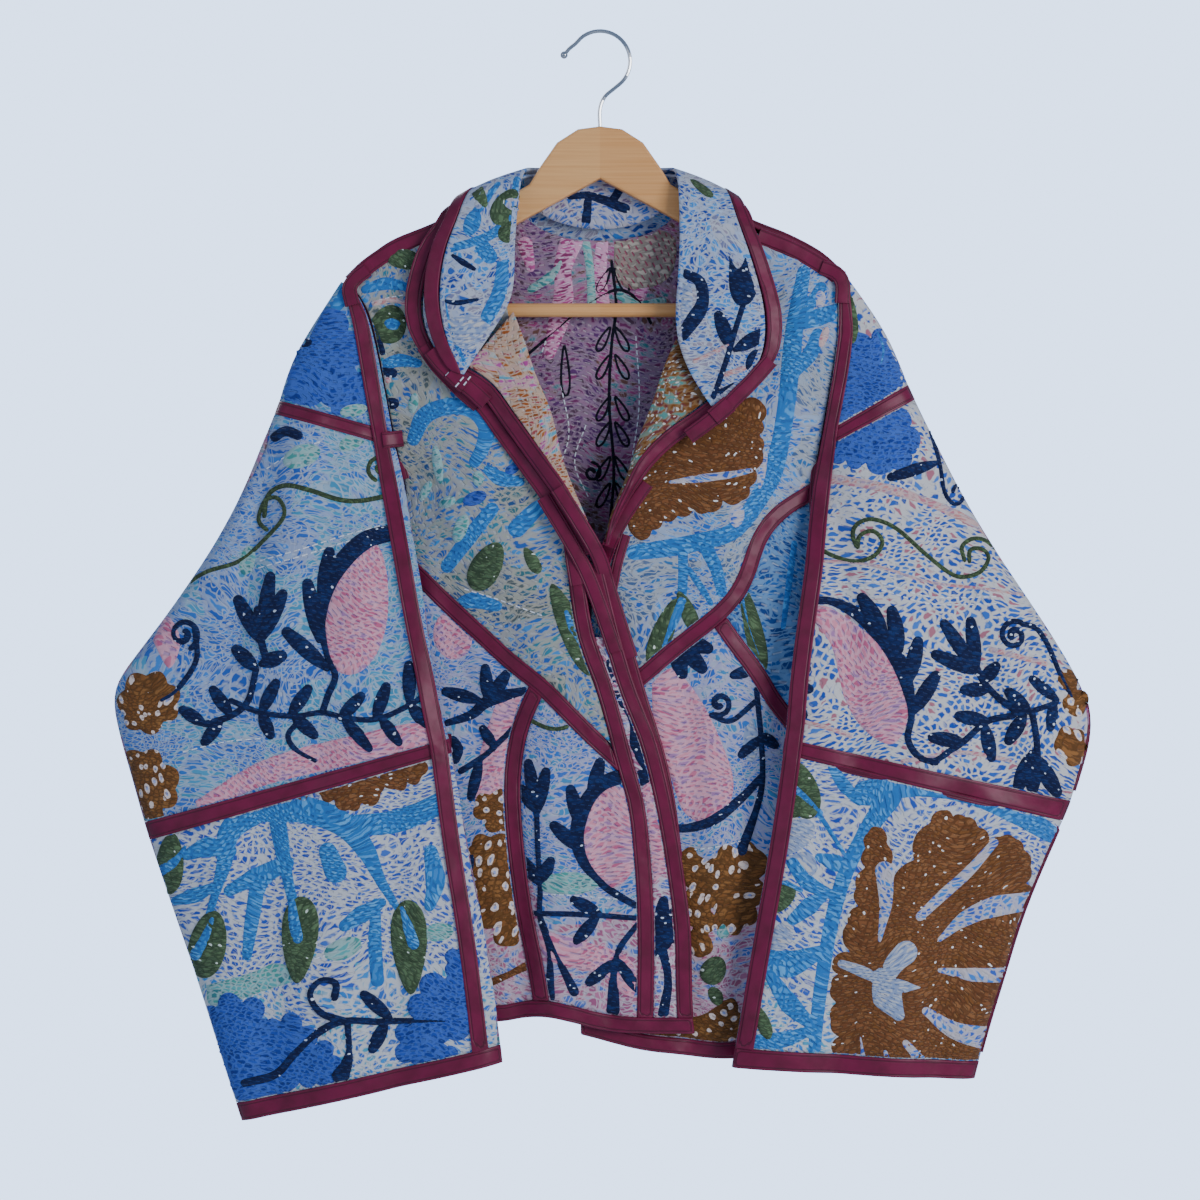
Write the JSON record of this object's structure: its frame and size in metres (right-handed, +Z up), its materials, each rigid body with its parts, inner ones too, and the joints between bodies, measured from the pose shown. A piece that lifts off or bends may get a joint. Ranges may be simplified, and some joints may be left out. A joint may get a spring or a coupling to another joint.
{
  "type": "kantha jacket on a wooden hanger",
  "caption": "Quilted patchwork jacket with bound seams, turned-out lapels and wide sleeves, hung on a shaped wooden hanger with a wire hook.",
  "frame": {"origin": "seat inside the top of the hook's loop, where a peg or rail holds the hanger", "axes": "+X to the viewer's right, +Y from the fronts to the back, +Z up along the hook's shank"},
  "size_m": [0.8352, 0.1014, 0.9354],
  "materials": {
    "quilted_cotton": "quilted cotton with running stitch and thread motifs",
    "quilted_inside": "printed quilted cotton with running stitch",
    "satin_binding": "satin bias binding with edge stitching",
    "hanger_wood": "clear-coated beech",
    "hook_wire": "polished"
  },
  "bodies": {
    "root": {"back": "quilted_cotton", "back_hem_binding": "satin_binding", "left_front_upper": "quilted_cotton", "left_front_side": "quilted_cotton", "left_front_centre": "quilted_cotton", "left_front_placket": "quilted_cotton", "left_diagonal_binding": "satin_binding", "left_curve_binding": "satin_binding", "placket_binding": "satin_binding", "front_edge_binding": "satin_binding", "left_hem_binding": "satin_binding", "front_under_binding": "satin_binding", "right_front_upper": "quilted_cotton", "right_front_gusset": "quilted_cotton", "right_front_lower": "quilted_cotton", "right_curve_binding": "satin_binding", "right_diagonal_binding": "satin_binding", "right_hem_binding": "satin_binding", "left_shoulder_binding": "satin_binding", "right_shoulder_binding": "satin_binding", "left_lapel_under": "quilted_cotton", "left_lapel_under_binding": "satin_binding", "left_lapel": "quilted_inside", "left_lapel_binding": "satin_binding", "right_lapel": "quilted_inside", "right_lapel_binding": "satin_binding", "collar_under": "quilted_cotton", "collar_under_binding": "satin_binding", "collar": "quilted_cotton", "collar_binding": "satin_binding", "collar_stand": "quilted_inside", "left_sleeve_cap_front": "quilted_cotton", "left_sleeve_cap_back": "quilted_cotton", "left_sleeve_upper_front": "quilted_cotton", "left_sleeve_upper_back": "quilted_cotton", "left_sleeve_lower_front": "quilted_cotton", "left_sleeve_lower_back": "quilted_cotton", "left_sleeve_upper_seam_front": "satin_binding", "left_sleeve_upper_seam_back": "satin_binding", "left_sleeve_lower_seam_binding": "satin_binding", "left_sleeve_cuff_binding": "satin_binding", "left_sleeve_front_binding": "satin_binding", "right_sleeve_cap_front": "quilted_cotton", "right_sleeve_cap_back": "quilted_cotton", "right_sleeve_upper_front": "quilted_cotton", "right_sleeve_upper_back": "quilted_cotton", "right_sleeve_lower_front": "quilted_cotton", "right_sleeve_lower_back": "quilted_cotton", "right_sleeve_upper_seam_front": "satin_binding", "right_sleeve_upper_seam_back": "satin_binding", "right_sleeve_lower_seam_binding": "satin_binding", "right_sleeve_cuff_binding": "satin_binding", "right_sleeve_front_binding": "satin_binding", "hanger_wood": "hanger_wood", "hanger_bar": "hanger_wood", "hanger_hook": "hook_wire"}
  },
  "joints": []
}
